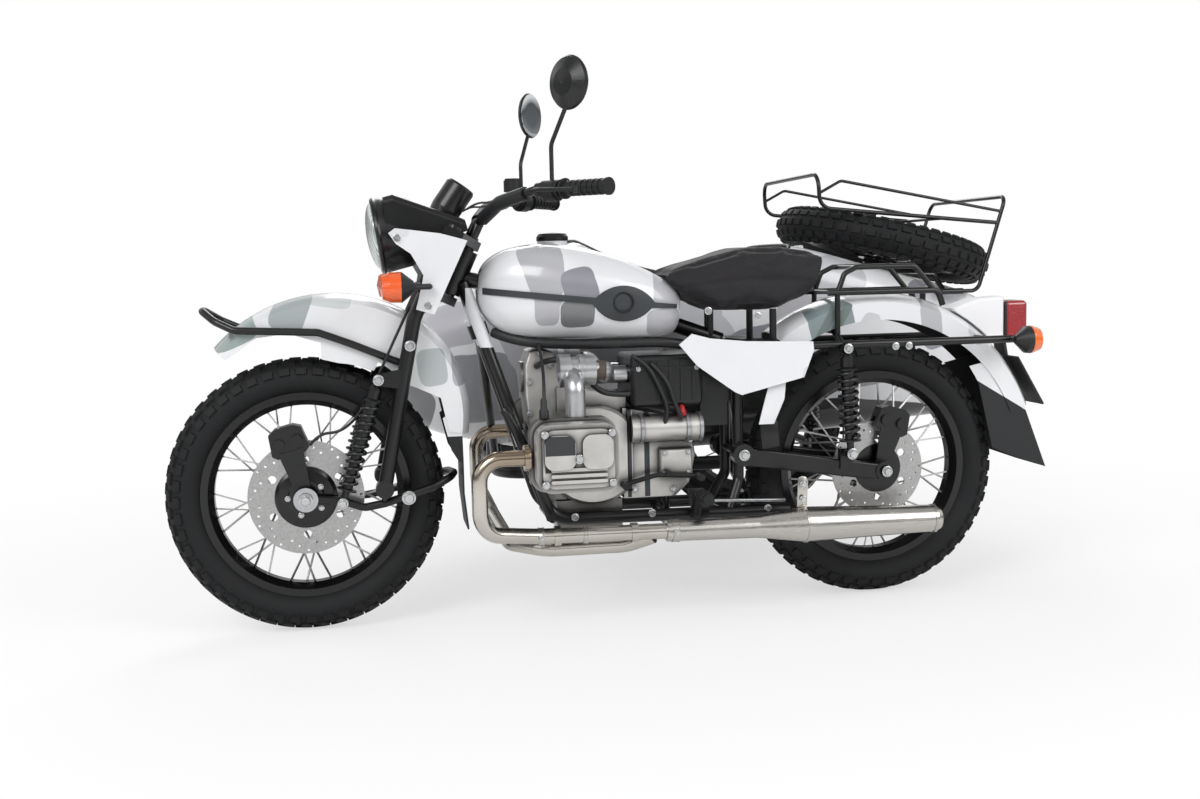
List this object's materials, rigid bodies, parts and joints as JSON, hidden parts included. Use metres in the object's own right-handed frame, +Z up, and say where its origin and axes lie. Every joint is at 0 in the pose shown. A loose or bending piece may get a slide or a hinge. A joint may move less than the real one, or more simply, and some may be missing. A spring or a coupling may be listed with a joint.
{
  "type": "sidecar motorcycle",
  "caption": "Motorcycle with a boat-shaped sidecar on its right, wire wheels, leading-link fork, opposed-cylinder engine and a spare wheel under the rack on the trunk lid.",
  "frame": {"origin": "on the ground below the middle of the whole outfit's box", "axes": "+X forward, +Y to the rider's left, +Z up; the sidecar is on the right, at -Y"},
  "size_m": [2.4671, 1.6612, 1.359],
  "materials": {
    "black_enamel": "satin",
    "cast_alloy": "cast, matt",
    "machined_alloy": "satin",
    "stainless_steel": "polished, warm where it is hot",
    "white_paint": "gloss, with grey camouflage patches",
    "black_plastic": "grained",
    "seat_cloth": "matt",
    "grip_rubber": "matt",
    "wheel_steel": "black rim and hub, bright spokes",
    "tyre_rubber": "matt, treaded",
    "red_lens": "clear red",
    "amber_lens": "clear amber"
  },
  "bodies": {
    "motorcycle": {"frame": "black_enamel", "engine_case": "cast_alloy", "cylinders": "cast_alloy", "intake": "machined_alloy", "exhaust_pipes": "stainless_steel", "muffler": "stainless_steel", "fuel_tank": "white_paint", "tank_pads": "grip_rubber", "filler_cap": "machined_alloy", "saddle": "seat_cloth", "seat_rack": "black_enamel", "rear_fender": "white_paint", "side_covers": "white_paint", "swingarm": "black_enamel", "rear_shocks": "black_enamel", "rear_lamps": "red_lens", "foot_controls": "grip_rubber", "side_body": "white_paint", "side_frame": "black_enamel", "side_fender": "white_paint", "side_seat": "seat_cloth", "side_swingarm": "black_enamel", "side_lamps": "amber_lens"},
    "steering": {"fork": "black_enamel", "front_link": "black_enamel", "front_shocks": "black_enamel", "front_fender": "white_paint", "fender_guard": "black_enamel", "headlamp": "black_enamel", "headlamp_ears": "white_paint", "handlebar": "black_enamel", "hand_controls": "grip_rubber", "mirrors": "black_plastic", "front_indicators": "amber_lens"},
    "centre_stand": {"centre_stand": "black_enamel"},
    "front_wheel": {"front_wheel": "wheel_steel", "front_tyre": "tyre_rubber"},
    "rear_wheel": {"rear_wheel": "wheel_steel", "rear_tyre": "tyre_rubber"},
    "side_wheel": {"side_wheel": "wheel_steel", "side_tyre": "tyre_rubber"},
    "trunk_lid": {"trunk_lid": "white_paint", "spare_wheel": "wheel_steel", "spare_tyre": "tyre_rubber", "luggage_rack": "black_enamel"}
  },
  "joints": [
    {"name": "steering", "type": "hinge", "parent": "motorcycle", "child": "steering", "pos_m": [0.50466, 0.3995, 0.88], "axis": [-0.4226, 0, 0.9063], "range_deg": [-35, 35]},
    {"name": "front_wheel_spin", "type": "hinge", "parent": "steering", "child": "front_wheel", "pos_m": [0.89466, 0.3995, 0.34], "axis": [0, 1, 0], "continuous": true},
    {"name": "rear_wheel_spin", "type": "hinge", "parent": "motorcycle", "child": "rear_wheel", "pos_m": [-0.57534, 0.3995, 0.34], "axis": [0, 1, 0], "continuous": true},
    {"name": "side_wheel_spin", "type": "hinge", "parent": "motorcycle", "child": "side_wheel", "pos_m": [-0.57534, -0.7405, 0.34], "axis": [0, 1, 0], "continuous": true},
    {"name": "centre_stand_fold", "type": "hinge", "parent": "motorcycle", "child": "centre_stand", "pos_m": [-0.01034, 0.3995, 0.226], "axis": [0, -1, 0], "range_deg": [0, 80], "stiffness_Nm_per_rad": 4, "springref_deg": -57.3},
    {"name": "trunk_lid_hinge", "type": "hinge", "parent": "motorcycle", "child": "trunk_lid", "pos_m": [-0.58173, -0.3205, 0.92607], "axis": [0, 1, 0], "range_deg": [0, 50]}
  ]
}
